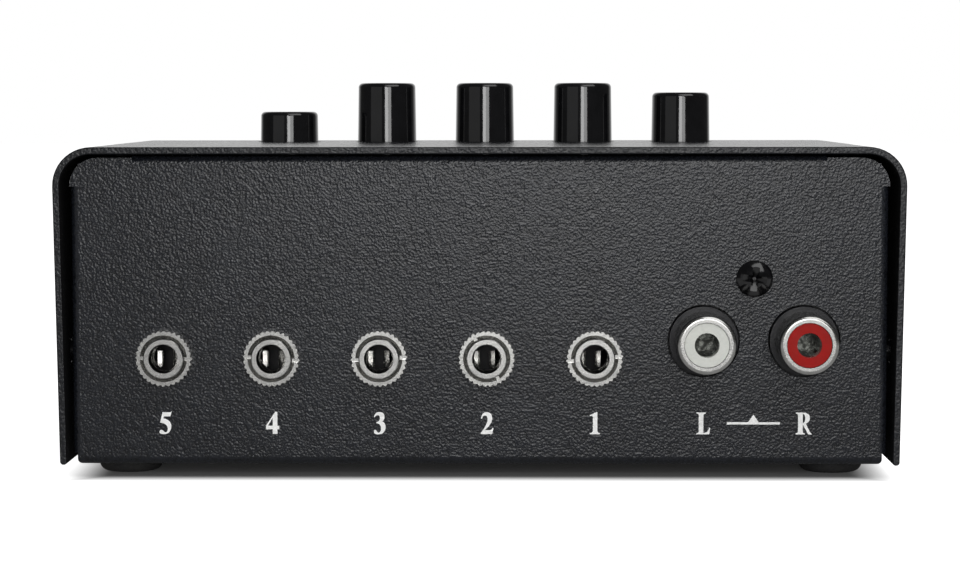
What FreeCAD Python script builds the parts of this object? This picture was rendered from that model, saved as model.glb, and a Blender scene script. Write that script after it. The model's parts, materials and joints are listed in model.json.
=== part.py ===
import FreeCAD
import Part

import math
import os

V = FreeCAD.Vector
UP = V(0, 0, 1)

# Speaker selector switch, in millimetres.
# +X is to the right as seen from the connector panel, +Y runs from that panel to the far side
# and +Z is up. The origin is under the middle of the whole part, on the surface it stands on.

# Case: an inverted U cover over a folded U chassis, both of steel sheet. Its width follows from the
# row of connectors and its height from the switch bank.
sheet = 1.0
case_depth = 67.4
cover_corner_r = 5.4
leg_lean = 1.03
rim_round = 0.2
leg_end_round = 0.45
rim_overhang = 1.0
foot_height = 2.0

# Chassis folds, the tabs at the panels' corners and the reliefs beside them
fold_r = 1.1
fold_relief = 0.5
flange_overhang = 0.7
side_clearance = 0.67
side_flange_depth = 10.0
top_clearance = 0.2
top_flange_depth = 5.5
tab_overhang = 0.8
tab_width = 8.75
tab_height = 4.0
tab_gap = 0.5
far_tab_gap = 0.05
chassis_corner_r = 0.7

# Stick-on feet
foot_r = 4.5
foot_edge_r = 1.2
foot_inset_x = 9.2
foot_inset_y = 10.0

# Countersunk screws through the cover's legs
side_screw_head_r = 2.5
side_screw_r = 1.45
side_screw_length = 6.0
side_screw_rise = 15.5
side_screw_inset = 5.5
side_screw_turns = (20.0, 55.0)
side_hole_gap = 0.2
thread_gap = 0.02

# Circuit board on standoffs
board_thickness = 1.6
board_lift = 7.0
board_side_gap = 2.95
board_rear_gap = 0.6
board_front_gap = 2.0
standoff_r = 2.6
standoff_edge = 4.5
standoff_rear_gap = 6.4
standoff_front_gap = 4.0
board_screw_r = 1.2
board_screw_head_r = 2.4
board_screw_head_height = 1.6
board_screw_length = 6.0
lead_hole_gap = 0.15
lead_reach = 1.2

# Five 3.5 mm jacks, numbered from the right as seen here
jack_count = 5
jack_pitch = 15.0
jack_edge = 12.35
jack_axis_height = 5.4
jack_bore_r = 1.8
jack_mouth_r = 2.05
jack_mouth_depth = 1.0
jack_thread_r = 2.8
jack_thread_reach = 2.1
jack_thread_end = 0.12
jack_thread_gap = 0.08
jack_hole_gap = 0.15
jack_flange_r = 3.9
jack_flange_thickness = 1.2
jack_body_width = 11.0
jack_body_depth = 13.0
jack_body_height = 10.8
jack_cavity_r = 3.4
jack_back_wall = 1.5
jack_spring_thickness = 0.3
jack_spring_width = 2.3
jack_spring_gap = 0.1
jack_spring_seat = 0.6
jack_spring_set = 5.9
jack_spring_tip = 0.22
jack_spring_flare = 0.95
jack_spring_bend_r = 0.03
jack_spring_left = 0.95
jack_spring_right = 0.1
jack_spring_drop = 0.8
jack_lead_width = 0.9

# Knurled nuts, each with two slots for a spanner
nut_r = 4.0
nut_thickness = 1.8
nut_teeth = 32
nut_tooth_depth = 0.34
nut_edge = 0.14
nut_mouth = 0.4
nut_slot_width = 0.5
nut_slot_depth = 0.6
nut_turns = (5.0, -60.0, 3.0, -4.0, -1.0)

# Pair of phono sockets in one moulded block
phono_pitch = 14.0
phono_edge = 10.95
phono_jack_gap = 15.2
phono_axis_height = 7.8
phono_reach = 7.6
phono_shell_r = 4.1
phono_shell_edge_r = 0.55
phono_root_r = 3.7
phono_shell_seat = 4.0
phono_insert_r = 3.05
phono_gap = 0.02
phono_insert_gap = 0.07
phono_insert_set = 0.15
phono_lip = 2.0
phono_pin_hole_r = 1.7
phono_contact_wall = 0.5
phono_contact_length = 10.0
phono_contact_end = 1.0
phono_tine_gap = 0.6
phono_tine_length = 6.0
phono_collar_r = 4.78
phono_collar_proud = 0.2
phono_groove_r = 5.3
phono_groove_depth = 1.2
phono_hole_r = 5.08
phono_block_width = 25.0
phono_block_depth = 13.0
phono_block_height = 13.8
phono_boss_width = 9.0
phono_boss_cover = 3.4
phono_lead_width = 1.6
phono_lead_thickness = 0.5

# Pan head screw that holds the block to the panel
panel_screw_rise = 8.7
panel_screw_head_r = 2.55
panel_screw_head_height = 1.9
panel_screw_rim = 0.7
panel_screw_r = 1.3
panel_screw_length = 9.0
cross_share = 0.67
cross_width = 0.95
cross_depth = 1.1
cross_turn = 7.0

# Push buttons, numbered like the jacks: one is latched down and one cap sits lower on its stem
button_count = 5
button_pitch = 15.5
bank_x = 0.15
bank_set_back = 10.7
button_travel = 5.0
over_travel = 0.5
latched_button = 5
low_button = 1
low_depth = 1.5
cap_rise = 9.2
cap_top_r = 4.49
cap_bottom_r = 4.69
cap_clearance = 1.4
cap_edge_r = 0.7
cap_crown = 2.0
cap_hole_gap = 0.35
stem_size = 3.4
stem_gap = 0.02
stem_spare = 1.8

# Switch housings, plungers and return springs, from the board up
housing_width = 9.2
housing_depth = 11.6
housing_floor = 0.8
shaft_spare = 0.5
slider_width = 5.0
slider_depth = 4.0
slider_length = 3.8
slider_gap = 0.1
slider_sink = 0.2
spring_room = 9.3
spring_coil_r = 2.9
spring_wire_r = 0.2
spring_turns = 6
collar_r = 3.5
collar_thickness = 1.7
stop_gap = 0.1
terminal_r = 0.35
terminal_edge = 1.6
terminal_seat = 1.0

# Folded frame round the housings
frame_sheet = 0.8
frame_grip = 1.0
frame_tab_width = 4.0
slot_gap = 0.4

# Latch bar that slides on top of the frame, under two headed studs
latch_thickness = 0.8
latch_width = 9.0
latch_travel = 1.2
latch_gap = 0.1
latch_tab_gap = 0.2
latch_spring_room = 4.7
bank_headroom = 10.7
latch_tab_height = 1.7
tooth_reach = 0.9
tooth_height = 1.6
stud_r = 1.0
stud_head_r = 1.9
stud_head_height = 0.6
stud_gap = 0.15
latch_coil_r = 0.6
latch_wire_r = 0.12
latch_turns = 5

# Heights
z_base = foot_height
z_floor = z_base + sheet
z_board = z_floor + board_lift
z_board_top = z_board + board_thickness
z_lead_end = z_board - lead_reach
z_side_screw = z_base + side_screw_rise
z_jack = z_board_top + jack_axis_height
z_phono = z_board_top + phono_axis_height
z_panel_screw = z_phono + panel_screw_rise

# Levels of the switch bank, up to the cover above it
latched_depth = button_travel - over_travel
z_shaft_floor = z_board_top + housing_floor
z_slider_top = z_shaft_floor + shaft_spare + button_travel + slider_length
z_housing_top = z_slider_top + slider_sink
z_collar = z_housing_top + spring_room
z_frame = z_collar + collar_thickness + stop_gap
z_frame_top = z_frame + frame_sheet
z_latch = z_frame_top + latch_gap
z_latch_top = z_latch + latch_thickness
z_tooth_top = z_latch - stop_gap + latched_depth
z_under_top = z_latch_top + bank_headroom
z_top = z_under_top + sheet
z_flange_top = z_under_top - top_clearance
z_flat_top = z_flange_top - fold_r
z_tab_low = z_under_top - tab_gap - tab_height
z_side_low = z_base + fold_r + fold_relief
z_leg_top = z_top - cover_corner_r
z_cap_top = z_top + cap_rise
z_cap_bottom = z_latch_top + cap_clearance + button_travel + low_depth
z_stem_top = z_cap_top - cap_crown - stem_spare

# Depths, from the connector panel to the far rim
y_front_rim = (case_depth + phono_reach - rim_overhang) / 2
y_rear_rim = y_front_rim - case_depth
y_panel = y_rear_rim + rim_overhang
y_panel_in = y_panel + sheet
y_front = y_front_rim - rim_overhang
y_front_in = y_front - sheet
bank_y = y_front - bank_set_back

# Half widths, from the row of connectors out to the chassis' folds and the cover's leaning legs
half_row = (jack_pitch * (jack_count - 1) + phono_jack_gap + phono_pitch) / 2
half_chassis = half_row + (jack_edge + phono_edge) / 2
half_flange = half_chassis + flange_overhang
half_flat = half_flange - fold_r
half_tab = half_chassis + tab_overhang
half_top = half_tab - tab_width
lean = math.tan(math.radians(leg_lean))
half_leg_end = half_flange + side_clearance + sheet
half_outside = half_leg_end + lean * (z_leg_top - z_base)
jack_row_x = -half_chassis + jack_edge + jack_pitch * (jack_count - 1) / 2
phono_x = half_chassis - phono_edge - phono_pitch / 2

# Extents of the switch bank
cap_hole_r = cap_bottom_r + cap_hole_gap
half_bank = button_pitch * (button_count - 1) / 2
half_latch = half_bank + cap_bottom_r + latch_tab_gap + latch_thickness
half_frame = half_latch + latch_spring_room + frame_sheet
half_frame_depth = housing_depth / 2 + frame_sheet


def in_xy(u, v):
    """Return the point u, v on the XY plane."""
    return V(u, v, 0)


def in_xz(u, v):
    """Return the point u, v on the XZ plane."""
    return V(u, 0, v)


def in_yz(u, v):
    """Return the point u, v on the YZ plane."""
    return V(0, u, v)


def outline(corners, place):
    """Return a flat face whose corners (u, v, radius) are rounded by true arcs."""
    stretches = []
    for index, (u, v, radius) in enumerate(corners):
        here = V(u, v, 0)
        following = corners[(index + 1) % len(corners)]
        back = V(corners[index - 1][0], corners[index - 1][1], 0) - here
        ahead = V(following[0], following[1], 0) - here
        back.normalize()
        ahead.normalize()
        if radius == 0:
            stretches.append((here, None, here))
            continue
        half = back.getAngle(ahead) / 2
        middle = (back + ahead).normalize()
        reach = radius / math.tan(half)
        apex = here + middle * (radius / math.sin(half) - radius)
        stretches.append((here + back * reach, apex, here + ahead * reach))
    edges = []
    for index, (start, apex, end) in enumerate(stretches):
        before = stretches[index - 1][2]
        first = place(start.x, start.y)
        if (start - before).Length > 1e-6:
            edges.append(Part.LineSegment(place(before.x, before.y), first).toShape())
        if apex is not None:
            edges.append(Part.Arc(first, place(apex.x, apex.y), place(end.x, end.y)).toShape())
    return Part.Face(Part.Wire(edges))


def box(x, y, z):
    """Return a block between the given pairs of x, y and z values."""
    return Part.makeBox(x[1] - x[0], y[1] - y[0], z[1] - z[0], V(x[0], y[0], z[0]))


def post(radius, x, y, z):
    """Return an upright cylinder at x, y between the pair of z values."""
    return Part.makeCylinder(radius, z[1] - z[0], V(x, y, z[0]), UP)


def rod(radius, x, z, y):
    """Return a cylinder along Y at x, z between the pair of y values."""
    return Part.makeCylinder(radius, y[1] - y[0], V(x, y[0], z), V(0, 1, 0))


def turned(profile):
    """Return the solid of revolution about Z of a profile of corners (radius, height, rounding)."""
    return outline(profile, in_xz).revolve(V(0, 0, 0), UP, 360)


def moved(shape, placement):
    """Return a copy of a shape carried by a placement."""
    copy = shape.copy()
    copy.Placement = placement.multiply(copy.Placement)
    return copy


def mirrored(shape):
    """Return the mirror image of a shape across the plane x = 0."""
    return shape.mirror(V(0, 0, 0), V(1, 0, 0))


def on_panel(x, z):
    """Return the placement whose +Z stands out of the connector panel's face at x, z."""
    return FreeCAD.Placement(V(x, y_panel, z), FreeCAD.Rotation(V(1, 0, 0), 90))


def joined(shapes):
    """Return one solid made of overlapping or touching shapes."""
    whole = shapes[0]
    for shape in shapes[1:]:
        whole = whole.fuse(shape)
    return whole.removeSplitter()


def without(shape, holes):
    """Return a shape with every hole cut out of it."""
    for hole in holes:
        shape = shape.cut(hole)
    return shape


def coil(radius, wire_r, turns, length):
    """Return a spring about Z, from 0 to the given length, whose half turns are tilted arcs."""
    step = (length - 2 * wire_r) / turns / 2
    arcs = []
    for half in range(2 * turns):
        side = 1 - 2 * (half % 2)
        start = V(side * radius, 0, half * step)
        crest = V(0, side * math.hypot(radius, step / 2), half * step + step / 2)
        end = V(-side * radius, 0, half * step + step)
        arcs.append(Part.Arc(start, crest, end).toShape())
    section = Part.Face(Part.Wire(Part.makeCircle(wire_r, V(radius, 0, 0), V(0, 1, 0))))
    spring = Part.Wire(arcs).makePipe(section)
    spring.translate(V(0, 0, wire_r))
    return spring


def beside(path, thickness):
    """Return the corners of a path moved to its right by a strip's thickness."""
    runs = [(end - start).normalize() for start, end in zip(path, path[1:])]
    rights = [V(run.y, -run.x, 0) for run in runs]
    corners = []
    for index, corner in enumerate(path):
        first = rights[max(index - 1, 0)]
        second = rights[min(index, len(rights) - 1)]
        corners.append(corner + (first + second) * (thickness / (1 + first.dot(second))))
    return corners


def row(count, pitch, middle):
    """Return the places of a row of parts, the first at the right."""
    return [middle + pitch * ((count - 1) / 2 - index) for index in range(count)]


def cross_recess(span, mouth, turn):
    """Return the cutter of a cross recess whose arms reach out to span at the height of its mouth."""
    sink = Part.makeCone(cross_width / 4, span, cross_depth, V(0, 0, mouth - cross_depth), UP)
    sink = sink.fuse(Part.makeCylinder(span, span, V(0, 0, mouth), UP))
    arms = []
    for angle in (turn, turn + 90):
        level = (mouth - cross_depth, mouth + span)
        arm = box((-span, span), (-cross_width / 2, cross_width / 2), level)
        arm.rotate(V(0, 0, 0), UP, angle)
        arms.append(arm.common(sink))
    return arms


def pan_screw(head_r, head_height, rim, shank_r, length, turn):
    """Return a pan head screw whose head stands on z = 0 and whose shank points down."""
    dome_r = (head_r ** 2 + (head_height - rim) ** 2) / (2 * (head_height - rim))
    head = Part.makeCylinder(head_r, head_height, V(0, 0, 0), UP)
    head = head.common(Part.makeSphere(dome_r, V(0, 0, head_height - dome_r)))
    shank = Part.makeCylinder(shank_r, length, V(0, 0, -length), UP)
    span = head_r * cross_share
    mouth = head_height - dome_r + math.sqrt(dome_r ** 2 - span ** 2)
    return without(joined([head, shank]), cross_recess(span, mouth, turn))


def flat_screw(turn):
    """Return a countersunk screw whose head is flush with z = 0 and whose shank points down."""
    head_height = side_screw_head_r - side_screw_r
    head = Part.makeCone(side_screw_r, side_screw_head_r, head_height, V(0, 0, -head_height), UP)
    shank_length = side_screw_length - head_height
    shank = Part.makeCylinder(side_screw_r, shank_length, V(0, 0, -side_screw_length), UP)
    return without(joined([head, shank]), cross_recess(side_screw_head_r * cross_share, 0, turn))


# Places of the repeated parts
jack_places = row(jack_count, jack_pitch, jack_row_x)
button_places = row(button_count, button_pitch, bank_x)
phono_places = {"white": phono_x - phono_pitch / 2, "red": phono_x + phono_pitch / 2}
half_board = half_flange - sheet - board_side_gap
board_rear = y_panel_in + board_rear_gap
board_front = y_front_in - board_front_gap
standoff_x = half_board - standoff_edge
standoff_depths = (y_panel_in + jack_body_depth + standoff_rear_gap, board_front - standoff_front_gap)
standoff_places = [(x, y) for x in (-standoff_x, standoff_x) for y in standoff_depths]
side_screw_depths = (y_panel + side_screw_inset, y_front - side_screw_inset)
foot_x = half_outside - foot_inset_x
foot_places = [(x, y) for x in (-foot_x, foot_x) for y in (y_panel + foot_inset_y, y_front - foot_inset_y)]


def on_right_leg(y):
    """Return the placement whose +Z stands out of the cover's right leg at a side screw."""
    x = half_outside - lean * (z_leg_top - z_side_screw)
    return FreeCAD.Placement(V(x, y, z_side_screw), FreeCAD.Rotation(V(0, 1, 0), 90 + leg_lean))


def cover():
    """Return the cover: top and two leaning legs, with button holes and countersunk holes."""
    bottom = half_leg_end - sheet
    inner_r = cover_corner_r - sheet
    bend = half_outside + lean * cover_corner_r
    corners = [
        (-half_leg_end, z_base, leg_end_round),
        (-bend, z_top, cover_corner_r),
        (bend, z_top, cover_corner_r),
        (half_leg_end, z_base, leg_end_round),
        (bottom, z_base, leg_end_round),
        (bend - sheet - lean * sheet, z_under_top, inner_r),
        (-bend + sheet + lean * sheet, z_under_top, inner_r),
        (-bottom, z_base, leg_end_round),
    ]
    shell = outline(corners, in_xz).extrude(V(0, case_depth, 0))
    shell.translate(V(0, y_rear_rim, 0))
    holes = [post(cap_hole_r, x, bank_y, (z_under_top - sheet, z_top + sheet)) for x in button_places]
    for y in side_screw_depths:
        sink = moved(side_hole_cutter(), on_right_leg(y))
        holes += [sink, mirrored(sink)]
    shell = without(shell, holes)
    rims = [edge for edge in shell.Edges if on_rim(edge)]
    return shell.makeFillet(rim_round, rims)


def on_rim(edge):
    """Tell whether an edge lies in the plane of the cover's near or far rim."""
    low, high = edge.BoundBox.YMin, edge.BoundBox.YMax
    return high - low < 1e-3 and min(abs(low - y_rear_rim), abs(low - y_front_rim)) < 1e-3


def side_hole_cutter():
    """Return the cutter of a countersunk hole whose mouth is at z = 0."""
    outer = side_screw_head_r + side_hole_gap
    inner = side_screw_r + side_hole_gap
    sink = Part.makeCone(inner, outer, outer - inner, V(0, 0, inner - outer), UP)
    return joined([sink, Part.makeCylinder(inner, 2 * sheet, V(0, 0, -2 * sheet), UP)])


def cover_screws():
    """Return the four countersunk screws in the cover's legs."""
    screws = []
    for y, turn in zip(side_screw_depths, side_screw_turns):
        screw = moved(flat_screw(turn), on_right_leg(y))
        screws += [screw, mirrored(screw)]
    return Part.makeCompound(screws)


def panel_folds(y_out, inward):
    """Return a panel's two side flanges and its top flange; inward is the direction into the case."""
    y_in = y_out + inward * sheet
    side_end = y_out + inward * side_flange_depth
    top_end = y_out + inward * top_flange_depth
    inner_r = fold_r - sheet
    start = half_flat - sheet
    side = outline([
        (start, y_out, 0),
        (half_flange, y_out, fold_r),
        (half_flange, side_end, 0),
        (half_flange - sheet, side_end, 0),
        (half_flange - sheet, y_in, inner_r),
        (start, y_in, 0),
    ], in_xy)
    side = side.extrude(V(0, 0, z_tab_low - z_side_low))
    side.translate(V(0, 0, z_side_low))
    top = outline([
        (y_out, z_flat_top - sheet, 0),
        (y_out, z_flange_top, fold_r),
        (top_end, z_flange_top, 0),
        (top_end, z_flange_top - sheet, 0),
        (y_in, z_flange_top - sheet, inner_r),
        (y_in, z_flat_top - sheet, 0),
    ], in_yz)
    top = top.extrude(V(2 * half_top, 0, 0))
    top.translate(V(-half_top, 0, 0))
    return [side, mirrored(side), top]


def corner_tabs(y_low, gap, reach_low, reach_top):
    """Return a panel's two corner tabs, a gap below the cover, which reach to x values low and high."""
    tab = outline([
        (half_top, z_tab_low, 0),
        (reach_low, z_tab_low, 0),
        (reach_top, z_under_top - gap, cover_corner_r - sheet - gap),
        (half_top, z_under_top - gap, 0),
    ], in_xz).extrude(V(0, sheet, 0))
    tab.translate(V(0, y_low, 0))
    return [tab, mirrored(tab)]


def far_tabs():
    """Return the far panel's corner tabs, which fill the corners inside the cover."""
    low = half_leg_end - sheet + lean * (z_tab_low - z_base) - far_tab_gap
    top = half_leg_end - sheet + lean * (z_under_top - z_base) - far_tab_gap
    return corner_tabs(y_front_in, far_tab_gap, low, top)


def floor_wings():
    """Return the strips that widen the floor to the flanges' width between the two panels."""
    near = y_panel + side_flange_depth + fold_relief
    far = y_front - side_flange_depth - fold_relief
    wing = box((half_chassis - sheet, half_flange), (near, far), (z_base, z_floor))
    return [wing, mirrored(wing)]


def chassis():
    """Return the folded chassis: connector panel, floor and far panel, with their flanges."""
    inner_r = fold_r - sheet
    channel = outline([
        (y_panel, z_base, fold_r),
        (y_front, z_base, fold_r),
        (y_front, z_flat_top, 0),
        (y_front_in, z_flat_top, 0),
        (y_front_in, z_floor, inner_r),
        (y_panel_in, z_floor, inner_r),
        (y_panel_in, z_flat_top, 0),
        (y_panel, z_flat_top, 0),
    ], in_yz)
    channel = channel.extrude(V(2 * half_chassis, 0, 0))
    channel.translate(V(-half_chassis, 0, 0))
    trim = outline([
        (-half_chassis, z_base, chassis_corner_r),
        (half_chassis, z_base, chassis_corner_r),
        (half_chassis, z_side_low, 0),
        (half_flat, z_side_low, 0),
        (half_flat, z_top, 0),
        (-half_flat, z_top, 0),
        (-half_flat, z_side_low, 0),
        (-half_chassis, z_side_low, 0),
    ], in_xz).extrude(V(0, case_depth, 0))
    trim.translate(V(0, y_rear_rim, 0))
    folds = panel_folds(y_panel, 1) + corner_tabs(y_panel, tab_gap, half_tab, half_tab)
    folds += panel_folds(y_front, -1) + far_tabs() + floor_wings()
    body = joined([channel.common(trim)] + folds)
    through = (y_panel - sheet, y_panel_in + sheet)
    holes = [rod(jack_thread_r + jack_hole_gap, x, z_jack, through) for x in jack_places]
    holes += [rod(phono_hole_r, x, z_phono, through) for x in phono_places.values()]
    holes.append(rod(panel_screw_r + jack_hole_gap, phono_x, z_panel_screw, through))
    for y in side_screw_depths:
        end = V(0, 0, -side_screw_length)
        pilot = Part.makeCylinder(side_screw_r + thread_gap, side_screw_length, end, UP)
        pilot = moved(pilot, on_right_leg(y))
        holes += [pilot, mirrored(pilot)]
    return without(body, holes)


def rubber_feet():
    """Return the four stick-on feet, rounded where they meet the surface."""
    foot = turned([(0, 0, 0), (foot_r, 0, foot_edge_r), (foot_r, foot_height, 0), (0, foot_height, 0)])
    places = [FreeCAD.Placement(V(x, y, 0), FreeCAD.Rotation()) for x, y in foot_places]
    return Part.makeCompound([moved(foot, place) for place in places])


def board_standoffs():
    """Return the four threaded standoffs between the chassis floor and the board."""
    pillars = []
    for x, y in standoff_places:
        pillar = post(standoff_r, x, y, (z_floor, z_board))
        pillars.append(pillar.cut(post(board_screw_r + thread_gap, x, y, (z_floor, z_board))))
    return Part.makeCompound(pillars)


def board_screws():
    """Return the four pan head screws that hold the board down."""
    screw = pan_screw(board_screw_head_r, board_screw_head_height, panel_screw_rim,
                      board_screw_r, board_screw_length, cross_turn)
    places = [FreeCAD.Placement(V(x, y, z_board_top), FreeCAD.Rotation()) for x, y in standoff_places]
    return Part.makeCompound([moved(screw, place) for place in places])


def main_board():
    """Return the circuit board with a hole for every screw and lead that passes through it."""
    board = box((-half_board, half_board), (board_rear, board_front), (z_board, z_board_top))
    through = (z_board, z_board_top)
    holes = [post(board_screw_r + jack_hole_gap, x, y, through) for x, y in standoff_places]
    hole_r = jack_lead_width / 2 + lead_hole_gap
    for x in jack_places:
        holes += [post(hole_r, x + dx, y, through) for dx, y in jack_lead_places()]
    for x in phono_places.values():
        holes += [post(phono_lead_width / 2 + lead_hole_gap, x, y, through) for y in phono_lead_depths()]
    for x, y in terminal_places():
        holes.append(post(terminal_r + lead_hole_gap, x, y, through))
    half_hole = frame_sheet / 2 + lead_hole_gap
    half_tab_hole = frame_tab_width / 2 + lead_hole_gap
    tab_sides = (bank_y - half_tab_hole, bank_y + half_tab_hole)
    for side in (-1, 1):
        x = bank_x + side * (half_frame - frame_sheet / 2)
        holes.append(box((x - half_hole, x + half_hole), tab_sides, through))
    return without(board, holes)


def jack_lead_places():
    """Return where a jack's three leads leave it, as (x from the axis, y)."""
    blade = jack_bore_r + jack_spring_seat + jack_spring_thickness / 2
    flange_back = y_panel_in + jack_flange_thickness + jack_spring_thickness / 2
    spring_end = y_panel_in + jack_body_depth - jack_back_wall - jack_lead_width / 2 - jack_spring_gap
    return [(0, flange_back), (-blade, spring_end), (blade, spring_end)]


def jack_spring(apex):
    """Return a contact spring, with its lead, whose bend stops at x = apex from a bore at x = 0."""
    thick = jack_spring_thickness
    seat = jack_bore_r + jack_spring_seat
    bend = y_panel_in + jack_spring_set
    end = y_panel_in + jack_body_depth - jack_back_wall - jack_spring_gap
    path = [
        V(apex + jack_spring_flare, bend - jack_spring_tip, 0),
        V(apex, bend, 0),
        V(seat, end - jack_lead_width, 0),
        V(seat, end, 0),
    ]
    near = zip(path, (0, jack_spring_bend_r + thick, 0, 0))
    far = zip(beside(path, thick), (0, jack_spring_bend_r, 0, 0))
    corners = [(corner.x, corner.y, radius) for corner, radius in near]
    corners += reversed([(corner.x, corner.y, radius) for corner, radius in far])
    blade = outline(corners, in_xy).extrude(V(0, 0, jack_spring_width))
    middle = z_jack - jack_spring_drop
    blade.translate(V(0, 0, middle - jack_spring_width / 2))
    lead = box((seat, seat + thick), (end - jack_lead_width, end), (z_lead_end, middle))
    return joined([blade, lead])


def jack_contacts(x):
    """Return a jack's two contact springs, which reach into the plug's path, and its sleeve lead."""
    springs = [jack_spring(jack_spring_right), mirrored(jack_spring(jack_spring_left))]
    plate_y = y_panel_in + jack_flange_thickness
    half = jack_lead_width / 2
    plate = box((-half, half), (plate_y, plate_y + jack_spring_thickness),
                (z_lead_end, z_jack - jack_bore_r - 2 * jack_spring_gap))
    contacts = Part.makeCompound(springs + [plate])
    contacts.translate(V(x, 0, 0))
    return contacts


def jack_ferrule(x):
    """Return a jack's threaded sleeve, with the plug's bore and the flange behind the panel."""
    back = -(sheet + jack_flange_thickness)
    sleeve = turned([
        (jack_bore_r, back, 0),
        (jack_flange_r, back, 0),
        (jack_flange_r, -sheet, 0),
        (jack_thread_r, -sheet, 0),
        (jack_thread_r, jack_thread_reach - jack_thread_end, 0),
        (jack_thread_r - jack_thread_end, jack_thread_reach, 0),
        (jack_mouth_r, jack_thread_reach, 0),
        (jack_bore_r, jack_thread_reach - jack_mouth_depth, 0),
    ])
    return moved(sleeve, on_panel(x, z_jack))


def jack_body(x):
    """Return a jack's moulded body, open at the front and hollow round the contact springs."""
    back = y_panel_in + jack_body_depth
    half = jack_body_width / 2
    block = box((x - half, x + half), (y_panel_in, back), (z_board_top, z_board_top + jack_body_height))
    flange_back = y_panel_in + jack_flange_thickness
    holes = [rod(jack_flange_r + thread_gap, x, z_jack, (y_panel_in, flange_back))]
    holes.append(rod(jack_cavity_r, x, z_jack, (flange_back, back - jack_back_wall)))
    holes.append(jack_contacts(x))
    return without(block, holes)


def jack_nut(x, turn):
    """Return a jack's knurled nut, countersunk in front and slotted for a spanner."""
    corners = []
    half_step = math.pi / nut_teeth
    for tooth in range(nut_teeth):
        middle = 2 * half_step * tooth
        for share, radius in ((-0.5, nut_r - nut_tooth_depth), (0.0, nut_r)):
            angle = middle + 2 * half_step * share
            corners.append((radius * math.cos(angle), radius * math.sin(angle), 0))
    blank = outline(corners, in_xy).extrude(V(0, 0, nut_thickness))
    hole_r = jack_thread_r + jack_thread_gap
    envelope = turned([
        (hole_r, 0, 0),
        (nut_r, 0, 0),
        (nut_r, nut_thickness - nut_edge, 0),
        (nut_r - nut_edge, nut_thickness, 0),
        (hole_r + nut_mouth, nut_thickness, 0),
        (hole_r, nut_thickness - nut_mouth, 0),
    ])
    nut = blank.common(envelope)
    half = nut_slot_width / 2
    slot = box((-nut_r, nut_r), (-half, half), (nut_thickness - nut_slot_depth, nut_thickness))
    nut = nut.cut(slot)
    nut.rotate(V(0, 0, 0), UP, turn)
    return moved(nut, on_panel(x, z_jack))


def phono_lead_depths():
    """Return the depths at which a socket's shell lead and pin lead pass through the board."""
    shell_lead = y_panel + phono_shell_seat - phono_lead_thickness / 2
    pin_lead = y_panel_in + phono_block_depth + phono_gap + phono_lead_thickness / 2
    return [shell_lead, pin_lead]


def phono_shell(x):
    """Return a socket's plated shell, narrower at its root, with the lead behind the panel."""
    bore_r = phono_insert_r + phono_insert_gap
    tube = turned([
        (bore_r, -phono_shell_seat, 0),
        (phono_root_r, -phono_shell_seat, 0),
        (phono_root_r, phono_collar_proud + phono_gap, 0),
        (phono_shell_r, phono_collar_proud + phono_gap, 0),
        (phono_shell_r, phono_reach, phono_shell_edge_r),
        (bore_r, phono_reach, 0),
    ])
    tube = moved(tube, on_panel(x, z_phono))
    half = phono_lead_width / 2
    root = y_panel + phono_shell_seat
    middle_r = (bore_r + phono_root_r) / 2
    lead = box((x - half, x + half), (root - phono_lead_thickness, root), (z_lead_end, z_phono - middle_r))
    return joined([tube, lead])


def phono_insulator(x):
    """Return a socket's coloured insert: a lip with the pin hole and a pocket for the contact."""
    face = phono_reach - phono_insert_set
    back = -(sheet + phono_block_depth)
    pocket_r = phono_pin_hole_r + phono_contact_wall + phono_gap
    insert = turned([
        (phono_pin_hole_r, face, 0),
        (phono_insert_r, face, 0),
        (phono_insert_r, back, 0),
        (pocket_r, back, 0),
        (pocket_r, face - phono_lip, 0),
        (phono_pin_hole_r, face - phono_lip, 0),
    ])
    return moved(insert, on_panel(x, z_phono))


def phono_contact(x):
    """Return a socket's slit contact tube with its tail and the lead behind the block."""
    outer = phono_pin_hole_r + phono_contact_wall
    front = phono_reach - phono_insert_set - phono_lip - phono_gap
    back = front - phono_contact_length
    tube = Part.makeCylinder(outer, phono_contact_length, V(0, 0, back), UP)
    bore_end = V(0, 0, back + phono_contact_end)
    tube = tube.cut(Part.makeCylinder(phono_pin_hole_r, phono_contact_length, bore_end, UP))
    half = phono_tine_gap / 2
    for angle in (45, 135):
        slit = box((-outer, outer), (-half, half), (front - phono_tine_length, front))
        slit.rotate(V(0, 0, 0), UP, angle)
        tube = tube.cut(slit)
    tube = moved(tube, on_panel(x, z_phono))
    lead_start = y_panel_in + phono_block_depth + phono_gap
    sides = (x - phono_lead_width / 2, x + phono_lead_width / 2)
    half_thick = phono_lead_thickness / 2
    tail = box(sides, (y_panel - back, lead_start), (z_phono - half_thick, z_phono + half_thick))
    lead = box(sides, (lead_start, lead_start + phono_lead_thickness), (z_lead_end, z_phono + half_thick))
    return joined([tube, tail, lead])


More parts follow.
